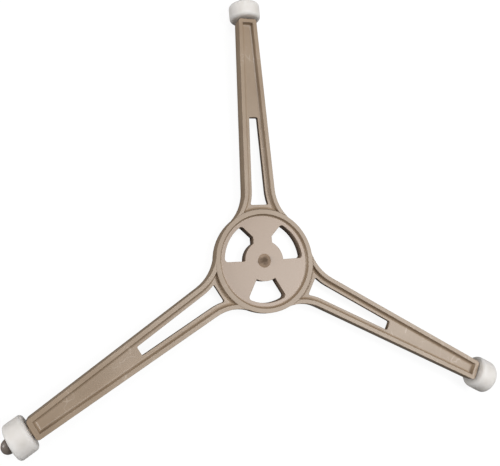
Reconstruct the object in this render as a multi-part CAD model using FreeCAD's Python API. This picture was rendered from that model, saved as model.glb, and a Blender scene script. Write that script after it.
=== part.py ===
import FreeCAD, Part
import math
import os

Vector = FreeCAD.Vector

# Turntable support: one moulded three-armed spider with a roller running on a stub axle at each arm end.
# Frame: Z up on the hub axis, origin in the mouth of the drive socket under the hub. All sizes in mm.

# Rollers and axles
roller_d = 15.0
roller_w = 8.0
roller_edge_r = 1.4
rim_steps = 4
axle_d = 5.0
running_clearance = 0.06
end_play = 0.4
head_d = 6.0
head_rim = 0.6
head_len = 3.4
axle_root = 1.2
floor_gap = 0.4

# Arms, seen from above
arm_angles = (90.0, 210.0, 330.0)
arm_len = 116.5
arm_tip_w = 9.3
arm_taper = 0.0345
arm_corner_r = 1.5
flare_r = 19.5
flare_bite = 0.15
root_overlap = 1.0
rib_w = 2.0
end_wall = 2.0

# Heights of the moulding
rib_above_axle = 3.8
arm_rise = 4.0
rib_h = 6.4
channel_depth = 1.9
web_t = 2.2
parting_drop = 3.4
outer_draft = 0.07

# Channel sides: draft, then a hollow radius down to the web
channel_draft = 0.3
channel_fillet = 1.0
fillet_steps = 3

# Slot through the web of each arm
slot_from = 25.7
slot_to = 67.5
slot_margin = 4.25
slot_corner_r = 0.6

# Hub
ring_r = 23.4
ring_w = 2.2
floor_depth = 1.4
floor_fillet = 0.6
disc_r = 9.2
window_r = 18.8
window_half_angle = 29.0
window_corner_r = 1.5
neck_half_w = 4.5
neck_len = 10.9
skirt_w = 1.5
nub_r = 3.1
nub_h = 1.1

# Drive socket under the hub
shaft_d = 7.0
socket_clearance = 0.05
socket_roof = 0.9
socket_wall = 2.5
drive_slot_w = 2.2
drive_slot_h = 1.8

# Derived levels and radii; the hub's levels are also those of the arms at their roots
roller_r = 0.5 * roller_d
axle_z = roller_r - floor_gap
top_z = axle_z + rib_above_axle - arm_rise
bottom_z = top_z - rib_h
web_z = top_z - channel_depth
under_z = web_z - web_t
floor_z = top_z - floor_depth
floor_under_z = floor_z - web_t
parting_z = top_z - parting_drop
top_inset = outer_draft * parting_drop
bottom_inset = outer_draft * (rib_h - parting_drop)
ring_in_r = ring_r - ring_w
axle_r = 0.5 * axle_d
head_r = 0.5 * head_d
roller_in = arm_len + end_play
roller_out = roller_in + roller_w
head_at = roller_out + end_play
socket_r = 0.5 * shaft_d + socket_clearance
socket_out_r = socket_r + socket_wall
overcut = 1.0
same_place = 0.001

# Side line of an arm: unit direction outwards, unit normal and its distance from the hub axis
taper_angle = math.atan(arm_taper)
side_dir = (math.cos(taper_angle), -math.sin(taper_angle))
side_normal = (math.sin(taper_angle), math.cos(taper_angle))
side_dist = side_normal[0] * arm_len + side_normal[1] * 0.5 * arm_tip_w

# Centre of the flare that runs from the side line into the hub ring
flare_reach = math.sqrt((ring_r + flare_r - flare_bite) ** 2 - (side_dist + flare_r) ** 2)
flare_c = tuple(n * (side_dist + flare_r) + d * flare_reach for n, d in zip(side_normal, side_dir))
flare_norm = math.hypot(flare_c[0], flare_c[1])
arm_root = flare_c[0] / flare_norm * ring_in_r


def to_hub(u, v, angle, z):
    """Point given by its place along and across an arm and its height."""
    a = math.radians(angle)
    return Vector(u * math.cos(a) - v * math.sin(a), u * math.sin(a) + v * math.cos(a), z)


def on_arm(u, v, angle, z):
    """Point of an arm given by its place along and across it and its height at the root."""
    return to_hub(u, v, angle, z + arm_rise * (u - arm_root) / (arm_len - arm_root))


def polar(r, angle, z):
    a = math.radians(angle)
    return Vector(r * math.cos(a), r * math.sin(a), z)


def arc_about(centre, start, end):
    """Arc of less than half a turn about a centre."""
    radius = (start - centre).Length
    middle = (start - centre) + (end - centre)
    middle.normalize()
    return Part.Arc(start, centre + middle * radius, end).toShape()


def side_point(u, inset):
    """Point on an arm's side line, moved in by inset."""
    v = (side_dist - inset - side_normal[0] * u) / side_normal[1]
    return (u, v)


def flare_start(inset):
    """Where the straight side, moved in by inset, runs into the flare."""
    return tuple(c - n * (flare_r + inset) for c, n in zip(flare_c, side_normal))


def flare_at_radius(r, inset):
    """Where the flare, moved in by inset, meets a circle about the hub axis."""
    big = flare_r + inset
    along = (flare_norm ** 2 + r ** 2 - big ** 2) / (2.0 * flare_norm)
    across = math.sqrt(max(r ** 2 - along ** 2, 0.0))
    e = (flare_c[0] / flare_norm, flare_c[1] / flare_norm)
    return (e[0] * along + e[1] * across, e[1] * along - e[0] * across)


def flare_at_u(u, inset):
    """Where the flare, moved in by inset, stands at a given place along the arm."""
    big = flare_r + inset
    return (u, flare_c[1] - math.sqrt(big ** 2 - (flare_c[0] - u) ** 2))


def mirror_v(p):
    return (p[0], -p[1])


def arm_outline(angle, inset, z):
    """Outer edge of one arm at one height, closed inside the hub ring."""
    corner = arm_corner_r - inset
    uc = arm_len - arm_corner_r
    vc = (side_dist - arm_corner_r - side_normal[0] * uc) / side_normal[1]
    inside = tuple(c / flare_norm * (ring_r - root_overlap) for c in flare_c)
    ring = tuple(c / flare_norm * (ring_r - flare_bite - inset) for c in flare_c)
    knee = flare_start(inset)
    shoulder = (uc + side_normal[0] * corner, vc + side_normal[1] * corner)
    tip = (arm_len - inset, vc)

    def at(p):
        return on_arm(p[0], p[1], angle, z)
    right = [at(mirror_v(p)) for p in (inside, ring, knee, shoulder, tip)]
    left = [at(p) for p in (tip, shoulder, knee, ring, inside)]
    return Part.Wire([Part.LineSegment(right[0], right[1]).toShape(),
                      arc_about(at(mirror_v(flare_c)), right[1], right[2]),
                      Part.LineSegment(right[2], right[3]).toShape(),
                      arc_about(at((uc, -vc)), right[3], right[4]),
                      Part.LineSegment(right[4], left[0]).toShape(),
                      arc_about(at((uc, vc)), left[0], left[1]),
                      Part.LineSegment(left[1], left[2]).toShape(),
                      arc_about(at(flare_c), left[2], left[3]),
                      Part.LineSegment(left[3], left[4]).toShape(),
                      Part.Arc(left[4], at((ring_r - root_overlap, 0.0)), right[0]).toShape()])


def make_arm(angle):
    """Solid arm, drafted both ways from the parting level."""
    return Part.makeLoft([arm_outline(angle, bottom_inset, bottom_z), arm_outline(angle, 0.0, parting_z),
                          arm_outline(angle, top_inset, top_z)], True, True)


def make_hub():
    """Solid disc of the hub, drafted like the arms."""
    return revolve_z([(0.0, bottom_z), (ring_r - bottom_inset, bottom_z), (ring_r, parting_z),
                      (ring_r - top_inset, top_z), (0.0, top_z)])


def channel(angle, inset, z):
    """Edge of one arm's channel at one height: two ribs, the end wall and the hub ring."""
    depth = rib_w + inset
    root = flare_at_radius(ring_r + inset, depth)
    knee = flare_start(depth)
    end = side_point(arm_len - end_wall - inset, depth)

    def at(p):
        return on_arm(p[0], p[1], angle, z)
    right = [at(mirror_v(p)) for p in (root, knee, end)]
    left = [at(p) for p in (end, knee, root)]
    edges = [arc_about(at(mirror_v(flare_c)), right[0], right[1]),
             Part.LineSegment(right[1], right[2]).toShape(),
             Part.LineSegment(right[2], left[0]).toShape(),
             Part.LineSegment(left[0], left[1]).toShape(),
             arc_about(at(flare_c), left[1], left[2]),
             Part.Arc(left[2], at((ring_r + inset, 0.0)), right[0]).toShape()]
    return Part.Wire(edges)


def channel_tool(angle):
    """Solid that hollows one arm from above, with a hollow radius where the ribs meet the web."""
    sections = [channel(angle, -channel_draft * overcut / channel_depth, top_z + overcut)]
    for i in range(fillet_steps + 1):
        a = 0.5 * math.pi * i / fillet_steps
        inset = channel_draft + channel_fillet * (1.0 - math.cos(a))
        sections.append(channel(angle, inset, web_z + channel_fillet * (1.0 - math.sin(a))))
    return Part.makeLoft(sections, True, True)


def under_tool(angle):
    """Solid that hollows one arm from below."""
    face = Part.Face(channel(angle, 0.0, bottom_z - overcut))
    return face.extrude(Vector(0, 0, under_z - bottom_z + overcut))


def slot_tool(angle):
    """Through slot that follows the arm's sides."""
    def at(p):
        return on_arm(p[0], p[1], angle, bottom_z - overcut)
    root = flare_at_u(slot_from, slot_margin)
    knee = flare_start(slot_margin)
    end = side_point(slot_to, slot_margin)
    right = [at(mirror_v(p)) for p in (root, knee, end)]
    left = [at(p) for p in (end, knee, root)]
    wire = Part.Wire([arc_about(at(mirror_v(flare_c)), right[0], right[1]),
                      Part.LineSegment(right[1], right[2]).toShape(),
                      Part.LineSegment(right[2], left[0]).toShape(),
                      Part.LineSegment(left[0], left[1]).toShape(),
                      arc_about(at(flare_c), left[1], left[2]),
                      Part.LineSegment(left[2], right[0]).toShape()])
    solid = Part.Face(wire).extrude(Vector(0, 0, rib_h + 2.0 * overcut))

    def at_an_end(p):
        out = p.dot(polar(1.0, angle, 0.0))
        return min(abs(out - slot_from), abs(out - slot_to)) < same_place
    return round_uprights(solid, slot_corner_r, at_an_end)


def round_uprights(solid, radius, wanted):
    """Round the vertical edges that stand where wanted says."""
    chosen = []
    for e in solid.Edges:
        p = e.firstVertex().Point
        q = e.lastVertex().Point
        upright = math.hypot(p.x - q.x, p.y - q.y) < same_place
        if upright and wanted(p):
            chosen.append(e)
    return solid.makeFillet(radius, chosen)


def revolve_z(points):
    wire = Part.makePolygon([Vector(r, 0, z) for r, z in points + points[:1]])
    return Part.Face(wire).revolve(Vector(), Vector(0, 0, 1), 360)


def cylinder(r, z0, z1):
    return Part.makeCylinder(r, z1 - z0, Vector(0, 0, z0))


def window_face(first, last, neck_side, z):
    """Floor window between two spokes; neck_side is +1 or -1 where it borders the necked spoke, else 0."""
    inner = [polar(disc_r, first, z), polar(disc_r, last, z)]
    outer = [polar(window_r, first, z), polar(window_r, last, z)]
    middle = 0.5 * (first + last)
    edges = []
    if neck_side == 0:
        edges.append(Part.LineSegment(inner[0], outer[0]).toShape())
        edges.append(Part.Arc(outer[0], polar(window_r, middle, z), outer[1]).toShape())
        edges.append(Part.LineSegment(outer[1], inner[1]).toShape())
        edges.append(Part.Arc(inner[1], polar(disc_r, middle, z), inner[0]).toShape())
        return Part.Face(Part.Wire(edges))
    neck_u = math.sqrt(disc_r ** 2 - neck_half_w ** 2)
    low = to_hub(neck_u, neck_side * neck_half_w, arm_angles[0], z)
    high = to_hub(neck_len, neck_side * neck_half_w, arm_angles[0], z)
    far, near = (0, 1) if neck_side > 0 else (1, 0)
    edges.append(Part.LineSegment(low, high).toShape())
    edges.append(Part.LineSegment(high, outer[far]).toShape())
    edges.append(Part.Arc(outer[far], polar(window_r, middle, z), outer[near]).toShape())
    edges.append(Part.LineSegment(outer[near], inner[near]).toShape())
    edges.append(Part.Arc(inner[near], polar(disc_r, middle, z), low).toShape())
    return Part.Face(Part.Wire(edges))


def windows(z):
    """The three windows, one between each pair of spokes; only the first spoke is necked."""
    half = window_half_angle
    faces = []
    for a, neck in zip(arm_angles, (1, 0, -1)):
        centre = a + 0.5 * (arm_angles[1] - arm_angles[0])
        faces.append(window_face(centre - half, centre + half, neck, z))
    return faces


def window_tool(face):
    """Prism that cuts one window right through, with its two outer corners rounded."""
    def at_outer_corner(p):
        return abs(math.hypot(p.x, p.y) - window_r) < same_place
    prism = face.extrude(Vector(0, 0, rib_h + overcut))
    return round_uprights(prism, window_corner_r, at_outer_corner)


def make_hub_underside():
    """Recess under the hub floor, less the skirts round the windows."""
    recess = cylinder(window_r, bottom_z - overcut, floor_under_z)
    rise = Vector(0, 0, floor_under_z - bottom_z + 2.0 * overcut)
    for face in windows(bottom_z - overcut):
        recess = recess.cut(face.makeOffset2D(skirt_w).extrude(rise))
    return recess


def make_floor_recess():
    """Dish above the hub floor with a hollow radius round its edge, and the level top of the ring."""
    points = [(0.0, floor_z), (0.0, top_z + overcut), (ring_r, top_z + overcut), (ring_r, top_z),
              (ring_in_r, top_z)]
    for i in range(fillet_steps + 1):
        a = 0.5 * math.pi * i / fillet_steps
        r = ring_in_r - channel_draft - floor_fillet * (1.0 - math.cos(a))
        points.append((r, floor_z + floor_fillet * (1.0 - math.sin(a))))
    return revolve_z(points)


def make_nub():
    """Low dome in the middle of the hub floor."""
    ball_r = (nub_r ** 2 + nub_h ** 2) / (2.0 * nub_h)
    ball = Part.makeSphere(ball_r, Vector(0, 0, floor_z + nub_h - ball_r))
    return ball.common(cylinder(nub_r, floor_under_z, floor_z + nub_h))


def make_socket():
    """Blind drive socket: tube under the floor, and the hole with the drive slot across its mouth."""
    tube = cylinder(socket_out_r, 0.0, floor_z)
    hole = cylinder(socket_r, -overcut, floor_z - socket_roof)
    reach = socket_out_r + overcut
    slot = Part.makeBox(2.0 * reach, drive_slot_w, drive_slot_h + overcut,
                        Vector(-reach, -0.5 * drive_slot_w, -overcut))
    return tube, hole.fuse(slot)


def make_axle(angle):
    """Stub axle with a domed snap head, along one arm."""
    body = [Vector(0, 0, arm_len - axle_root), Vector(axle_r, 0, arm_len - axle_root),
            Vector(axle_r, 0, head_at), Vector(head_r, 0, head_at), Vector(head_r, 0, head_at + head_rim)]
    crown = Vector(0, 0, head_at + head_len)
    dome_h = head_len - head_rim
    dome_r = (head_r ** 2 + dome_h ** 2) / (2.0 * dome_h)
    centre = Vector(0, 0, head_at + head_len - dome_r)
    edges = [Part.LineSegment(p, q).toShape() for p, q in zip(body, body[1:])]
    edges.append(arc_about(centre, body[-1], crown))
    edges.append(Part.LineSegment(crown, body[0]).toShape())
    solid = Part.Face(Part.Wire(edges)).revolve(Vector(), Vector(0, 0, 1), 360)
    return lay_out(solid, angle)


def lay_out(solid, angle):
    """Turn a solid made along Z so that it lies along one arm at axle height."""
    turned = solid.copy()
    turned.rotate(Vector(), Vector(0, 1, 0), 90)
    turned.rotate(Vector(), Vector(0, 0, 1), angle)
    turned.translate(Vector(0, 0, axle_z))
    return turned


def make_spider():
    """The whole moulding: hub, arms and axles in one solid."""
    body = make_hub()
    for a in arm_angles:
        body = body.fuse(make_arm(a))
    for a in arm_angles:
        body = body.cut(channel_tool(a))
        body = body.cut(under_tool(a))
        body = body.cut(slot_tool(a))
    body = body.cut(make_floor_recess())
    body = body.cut(make_hub_underside())
    tube, hole = make_socket()
    body = body.fuse(tube)
    body = body.fuse(make_nub())
    for face in windows(bottom_z - overcut):
        body = body.cut(window_tool(face))
    body = body.cut(hole)
    for a in arm_angles:
        body = body.fuse(make_axle(a))
    return body.removeSplitter()


def make_roller(angle):
    """Plain bored roller with rounded rims."""
    bore_r = axle_r + running_clearance
    rim = []
    for i in range(rim_steps + 1):
        a = 0.5 * math.pi * i / rim_steps
        rim.append((roller_edge_r * (1.0 - math.sin(a)), roller_edge_r * (1.0 - math.cos(a))))
    points = [(bore_r, roller_out), (bore_r, roller_in)]
    points += [(roller_r - drop, roller_in + step) for step, drop in reversed(rim)]
    points += [(roller_r - drop, roller_out - step) for step, drop in rim]
    return lay_out(revolve_z(points), angle)


os.makedirs("parts", exist_ok=True)
make_spider().exportStep("parts/spider.step")
for number, arm_angle in enumerate(arm_angles, 1):
    make_roller(arm_angle).exportStep("parts/roller_%d.step" % number)
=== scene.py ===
import math

import bpy
from mathutils import Matrix, Vector


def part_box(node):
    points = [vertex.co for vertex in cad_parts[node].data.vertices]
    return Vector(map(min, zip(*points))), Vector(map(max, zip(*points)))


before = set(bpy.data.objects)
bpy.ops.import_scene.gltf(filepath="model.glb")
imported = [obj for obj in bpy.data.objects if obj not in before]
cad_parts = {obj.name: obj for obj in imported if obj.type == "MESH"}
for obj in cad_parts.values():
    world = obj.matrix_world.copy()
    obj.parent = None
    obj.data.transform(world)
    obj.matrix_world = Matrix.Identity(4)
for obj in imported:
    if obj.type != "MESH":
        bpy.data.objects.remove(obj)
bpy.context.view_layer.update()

MM = 0.001

# Photograph: its frame and optical axis in pixels, and the camera that sees the spider as it does, in
# millimetres and degrees. The picture is cropped off centre, so the axis lies up and left of its middle.
photo_wide = 500
photo_high = 466
axis_across = 219.8
axis_down = 172.0
camera_place = Vector((-91.68, -9.56, 249.23)) * MM
camera_aim = Vector((-18.54, 41.12, 7.0)) * MM
camera_roll = 4.179
camera_lens = 40.66
camera_near = 10.0
sensor_wide = 36.0

# Studio, in millimetres and watts: a white sheet under the rollers, a key lamp beyond the far arm, a wide
# sheen lamp that the hub floor and the right arm reflect, and a low fill lamp at the left
sheet_wide = 6000.0
key_place = Vector((-150.0, 430.0, 880.0)) * MM
key_wide = 350.0
key_watts = 3.9
sheen_place = Vector((460.0, -60.0, 890.0)) * MM
sheen_wide = 600.0
sheen_watts = 6.9
fill_place = Vector((-900.0, 60.0, 160.0)) * MM
fill_wide = 300.0
fill_watts = 3.6
room_level = 0.06
sheet_glow = 0.92

# Sizes that the finishes are drawn to, in millimetres
floor_edge = 20.2
floor_fade = 0.4
spider_cloud = 16.0
spider_grain = 0.5
spider_edge = 0.3
grain_height = 0.05
flow_bend = 9.0
nub_top = 2.0
nub_edge = 3.2
# Painted shade on the nub: where it is full, where it has faded out, and the size and reach of its wobbling
# edge
nub_shade_core = 0.3
nub_shade_edge = 2.6
nub_shade_wobble = 2.6
nub_shade_wander = 2.0
head_fade = 0.4
roller_cloud = 6.0
roller_edge = 0.3
ripple_height = 0.03
light_depth = 4.5

# Levels of the finishes: where in their noise the flow marks lie, how strong the marks are, and how rough
# the faces are
flow_seed = 2.5
flow_level = 0.5
flow_half = 0.015
flow_from = 0.54
flow_full = 0.62
flow_strength = 0.3
# Painted shade on the nub: how its oval is stretched along X, Y and Z, and how dark it is painted
nub_shade_shares = (0.6, 1.0, 0.0)
nub_shade_strength = 0.85
floor_rough = 0.34
arm_rough = 0.4
nub_rough = 0.85
roller_rough_from = 0.55
roller_rough_to = 0.65
edge_samples = 6

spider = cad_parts["spider"]
rollers = [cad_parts[name] for name in sorted(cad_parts) if name.startswith("roller")]


def from_hex(text):
    """sRGB hex to linear colour."""
    channels = [int(text[i:i + 2], 16) / 255.0 for i in (0, 2, 4)]
    linear = [c / 12.92 if c <= 0.04045 else ((c + 0.055) / 1.055) ** 2.4 for c in channels]
    return (*linear, 1.0)


def add(tree, kind, inputs=None, **settings):
    """Add a node, set it up, and give each input a value or a link from another node's output."""
    made = tree.nodes.new(kind)
    for name, value in settings.items():
        setattr(made, name, value)
    for name, value in (inputs or {}).items():
        if isinstance(value, bpy.types.NodeSocket):
            tree.links.new(value, made.inputs[name])
        else:
            made.inputs[name].default_value = value
    return made


def new_finish(name):
    """Empty material and its node tree."""
    material = bpy.data.materials.new(name)
    material.use_nodes = True
    material.node_tree.nodes.clear()
    return material, material.node_tree


def per_metre(size_mm):
    """Scale of a pattern whose features are this many millimetres across."""
    return 1.0 / (size_mm * MM)


def set_ramp(node, stops):
    """Give a colour ramp its stops, from low to high."""
    ramp = node.color_ramp
    while len(ramp.elements) < len(stops):
        ramp.elements.new(1.0)
    for element, (place, colour) in zip(ramp.elements, stops):
        element.position = place
        element.color = colour


def distance_from_axis(tree, place, shares=(1.0, 1.0, 0.0)):
    """How far a surface point lies from the hub axis, in metres, with X, Y and Z counted in these shares."""
    counted = add(tree, "ShaderNodeVectorMath", {0: place, 1: shares}, operation="MULTIPLY")
    out = add(tree, "ShaderNodeVectorMath", {0: counted.outputs["Vector"]}, operation="LENGTH")
    return out.outputs["Value"]


def flow_marked_taupe(tree, place):
    """Clouded taupe with flow marks: thin, pale level lines of one noise, kept where the cloud is high."""
    cloud = add(tree, "ShaderNodeTexNoise",
                {"Vector": place, "W": flow_seed, "Scale": per_metre(spider_cloud), "Detail": 3.0,
                 "Roughness": 0.55},
                noise_dimensions="4D")
    taupe = add(tree, "ShaderNodeValToRGB", {"Fac": cloud.outputs["Fac"]})
    set_ramp(taupe, [(0.30, from_hex("947F69")), (0.52, from_hex("9A8670")), (0.74, from_hex("A08C77"))])
    swirl = add(tree, "ShaderNodeTexNoise",
                {"Vector": place, "W": flow_seed, "Scale": per_metre(flow_bend), "Detail": 2.0,
                 "Distortion": 0.8},
                noise_dimensions="4D")
    line = add(tree, "ShaderNodeValToRGB", {"Fac": swirl.outputs["Fac"]})
    set_ramp(line, [(flow_level - flow_half, from_hex("000000")), (flow_level, from_hex("FFFFFF")),
                    (flow_level + flow_half, from_hex("000000"))])
    patch = add(tree, "ShaderNodeMapRange",
                {"Value": cloud.outputs["Fac"], "From Min": flow_from, "From Max": flow_full})
    kept = add(tree, "ShaderNodeMath",
               {0: line.outputs["Color"], 1: patch.outputs["Result"]}, operation="MULTIPLY")
    mark = add(tree, "ShaderNodeMapRange", {"Value": kept.outputs["Value"], "To Max": flow_strength})
    marked = add(tree, "ShaderNodeMix",
                 {"Factor": mark.outputs["Result"], "A": taupe.outputs["Color"], "B": from_hex("D6CABC")},
                 data_type="RGBA")
    return marked.outputs["Result"]


def painted_nub_shade(tree, place):
    """Strength of the painted shade on the nub: a dark oval that stands in for the shadow on the nub's lower
    side, its edge wandering in and out.
    """
    wobble = add(tree, "ShaderNodeTexNoise", {"Vector": place, "Scale": per_metre(nub_shade_wobble), "Detail": 2.0})
    wander = add(tree, "ShaderNodeMapRange",
                 {"Value": wobble.outputs["Fac"], "To Min": -nub_shade_wander * MM, "To Max": nub_shade_wander * MM})
    wobbled_distance = add(tree, "ShaderNodeMath",
               {0: distance_from_axis(tree, place, nub_shade_shares), 1: wander.outputs["Result"]},
               operation="ADD")
    mark = add(tree, "ShaderNodeMapRange",
               {"Value": wobbled_distance.outputs["Value"], "From Min": nub_shade_core * MM, "From Max": nub_shade_edge * MM,
                "To Min": nub_shade_strength, "To Max": 0.0},
               interpolation_type="SMOOTHSTEP")
    return mark.outputs["Result"]


def taupe_moulded_polyester():
    """Glass-filled polyester from a fine-spark tool: satin taupe with a few thin, pale flow marks, a smoother
    floor in the hub, a dark oval of painted shade on its matt nub, and axle heads painted a darker grey as
    shade."""
    material, tree = new_finish("taupe moulded polyester, fine-spark satin")
    place = add(tree, "ShaderNodeTexCoord").outputs["Object"]
    out = distance_from_axis(tree, place)

    # Colour: the hub floor has no flow marks, and the axle heads start at the rollers' outer faces, where a
    # darker grey is painted on them as shade
    off_floor = add(tree, "ShaderNodeMapRange",
                    {"Value": out, "From Min": floor_edge * MM, "From Max": (floor_edge + floor_fade) * MM},
                    interpolation_type="SMOOTHSTEP")
    body = add(tree, "ShaderNodeMix",
               {"Factor": off_floor.outputs["Result"], "A": from_hex("9C8672"),
                "B": flow_marked_taupe(tree, place)},
               data_type="RGBA")
    # Painted shade: a dark oval on the nub, where the nub's shadow falls
    nub_shade_painted = add(tree, "ShaderNodeMix",
                {"Factor": painted_nub_shade(tree, place), "A": body.outputs["Result"], "B": from_hex("4A3826")},
                data_type="RGBA")
    head_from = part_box("roller_1")[1].y
    on_head = add(tree, "ShaderNodeMapRange",
                  {"Value": out, "From Min": head_from, "From Max": head_from + head_fade * MM})
    # Painted shade: the axle heads are coloured a darker grey than the arms, to stand in for their shade
    painted_head_shade = add(tree, "ShaderNodeMix",
                 {"Factor": on_head.outputs["Result"], "A": nub_shade_painted.outputs["Result"],
                  "B": from_hex("766C64")},
                 data_type="RGBA")

    # Roughness: the hub floor is smoother than the arms, and its nub is matt
    satin = add(tree, "ShaderNodeMapRange",
                {"Value": off_floor.outputs["Result"], "To Min": floor_rough, "To Max": arm_rough})
    on_nub = add(tree, "ShaderNodeMapRange",
                 {"Value": out, "From Min": nub_top * MM, "From Max": nub_edge * MM,
                  "To Min": nub_rough, "To Max": 0.0},
                 interpolation_type="SMOOTHSTEP")
    rough = add(tree, "ShaderNodeMath",
                {0: satin.outputs["Result"], 1: on_nub.outputs["Result"]}, operation="MAXIMUM")

    # The real spark finish is about 0.05 mm, too fine to show, so it is drawn ten times coarser
    grain = add(tree, "ShaderNodeTexNoise",
                {"Vector": place, "Scale": per_metre(spider_grain), "Detail": 3.0, "Roughness": 0.6})
    edge = add(tree, "ShaderNodeBevel", {"Radius": spider_edge * MM}, samples=edge_samples)
    bump = add(tree, "ShaderNodeBump",
               {"Height": grain.outputs["Fac"], "Strength": 0.05, "Distance": grain_height * MM,
                "Normal": edge.outputs["Normal"]})
    shader = add(tree, "ShaderNodeBsdfPrincipled",
                 {"Base Color": painted_head_shade.outputs["Result"], "Roughness": rough.outputs["Value"],
                  "IOR": 1.55, "Normal": bump.outputs["Normal"]})
    add(tree, "ShaderNodeOutputMaterial", {"Surface": shader.outputs["BSDF"]})
    return material


def white_moulded_acetal():
    """Unfilled acetal, moulded: waxy, slightly uneven white that light sinks into."""
    material, tree = new_finish("white moulded acetal, waxy")
    place = add(tree, "ShaderNodeTexCoord").outputs["Object"]
    cloud = add(tree, "ShaderNodeTexNoise",
                {"Vector": place, "Scale": per_metre(roller_cloud), "Detail": 3.0, "Roughness": 0.5})
    white = add(tree, "ShaderNodeValToRGB", {"Fac": cloud.outputs["Fac"]})
    set_ramp(white, [(0.3, from_hex("DBD7D1")), (0.55, from_hex("E2DEDA")), (0.8, from_hex("E7E4E0"))])
    edge = add(tree, "ShaderNodeBevel", {"Radius": roller_edge * MM}, samples=edge_samples)
    bump = add(tree, "ShaderNodeBump",
               {"Height": cloud.outputs["Fac"], "Strength": 0.1, "Distance": ripple_height * MM,
                "Normal": edge.outputs["Normal"]})
    rough = add(tree, "ShaderNodeMapRange",
                {"Value": cloud.outputs["Fac"], "To Min": roller_rough_from, "To Max": roller_rough_to})
    shader = add(tree, "ShaderNodeBsdfPrincipled",
                 {"Base Color": white.outputs["Color"], "Roughness": rough.outputs["Result"], "IOR": 1.48,
                  "Subsurface Weight": 1.0, "Subsurface Radius": (1.0, 1.0, 1.0),
                  "Subsurface Scale": light_depth * MM, "Normal": bump.outputs["Normal"]})
    add(tree, "ShaderNodeOutputMaterial", {"Surface": shader.outputs["BSDF"]})
    return material


def white_paper_sheet():
    """Matt paper: it looks white and keeps a faint shadow, and throws little light back at the walls."""
    material, tree = new_finish("white paper, matt")
    paper = add(tree, "ShaderNodeBsdfDiffuse", {"Color": from_hex("5C5C5C")})
    glow = add(tree, "ShaderNodeEmission", {"Color": from_hex("FFFFFF"), "Strength": sheet_glow})
    bright = add(tree, "ShaderNodeAddShader", {0: paper.outputs["BSDF"], 1: glow.outputs["Emission"]})
    seen = add(tree, "ShaderNodeLightPath")
    dull = add(tree, "ShaderNodeBsdfDiffuse", {"Color": from_hex("7C7A78")})
    mixed = add(tree, "ShaderNodeMixShader",
                {0: seen.outputs["Is Camera Ray"], 1: dull.outputs["BSDF"], 2: bright.outputs["Shader"]})
    add(tree, "ShaderNodeOutputMaterial", {"Surface": mixed.outputs["Shader"]})
    return material


def dress(node, material):
    """Give a node one material all over."""
    node.data.materials.clear()
    node.data.materials.append(material)


def lay_sheet():
    """Lay the paper at the level that the rollers stand on."""
    bpy.ops.object.select_all(action="DESELECT")
    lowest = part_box("roller_1")[0].z
    bpy.ops.mesh.primitive_plane_add(size=sheet_wide * MM, location=(0.0, 0.0, lowest))
    sheet = bpy.context.object
    sheet.name = "paper sheet"
    sheet.data.materials.append(white_paper_sheet())


def hang_lamp(name, place, wide, watts):
    """Hang a round lamp that faces the hub."""
    data = bpy.data.lights.new(name, "AREA")
    data.shape = "DISK"
    data.size = wide * MM
    data.energy = watts
    lamp = bpy.data.objects.new(name, data)
    lamp.location = place
    lamp.rotation_euler = (-place).to_track_quat("-Z", "Y").to_euler()
    bpy.context.scene.collection.objects.link(lamp)


def light_room():
    """A dim room that the camera sees as white, and three lamps."""
    world = bpy.data.worlds.new("studio")
    world.use_nodes = True
    world.node_tree.nodes.clear()
    tree = world.node_tree
    room = add(tree, "ShaderNodeBackground", {"Color": from_hex("FFFFFF"), "Strength": room_level})
    seen = add(tree, "ShaderNodeLightPath")
    white = add(tree, "ShaderNodeBackground", {"Color": from_hex("FFFFFF"), "Strength": 1.0})
    mixed = add(tree, "ShaderNodeMixShader",
                {0: seen.outputs["Is Camera Ray"], 1: room.outputs["Background"],
                 2: white.outputs["Background"]})
    add(tree, "ShaderNodeOutputWorld", {"Surface": mixed.outputs["Shader"]})
    bpy.context.scene.world = world
    hang_lamp("key lamp", key_place, key_wide, key_watts)
    hang_lamp("sheen lamp", sheen_place, sheen_wide, sheen_watts)
    hang_lamp("fill lamp", fill_place, fill_wide, fill_watts)


def place_camera():
    """Put the camera where the photograph was taken, turned and shifted to its framing."""
    data = bpy.data.cameras.new("photograph's camera")
    data.sensor_width = sensor_wide
    data.lens = camera_lens
    data.clip_start = camera_near * MM
    data.shift_x = (0.5 * photo_wide - axis_across) / photo_wide
    data.shift_y = (axis_down - 0.5 * photo_high) / photo_wide
    camera = bpy.data.objects.new("photograph's camera", data)
    ahead = (camera_aim - camera_place).normalized()
    level = ahead.cross(Vector((0.0, 1.0, 0.0))).normalized()
    right = Matrix.Rotation(math.radians(camera_roll), 3, ahead) @ level
    up = right.cross(ahead)
    turn = Matrix((right, up, -ahead)).transposed().to_4x4()
    camera.matrix_world = Matrix.Translation(camera_place) @ turn
    bpy.context.scene.collection.objects.link(camera)
    bpy.context.scene.camera = camera


dress(spider, taupe_moulded_polyester())
acetal = white_moulded_acetal()
for roller in rollers:
    dress(roller, acetal)
lay_sheet()
light_room()
place_camera()
bpy.context.scene.view_settings.view_transform = "Standard"
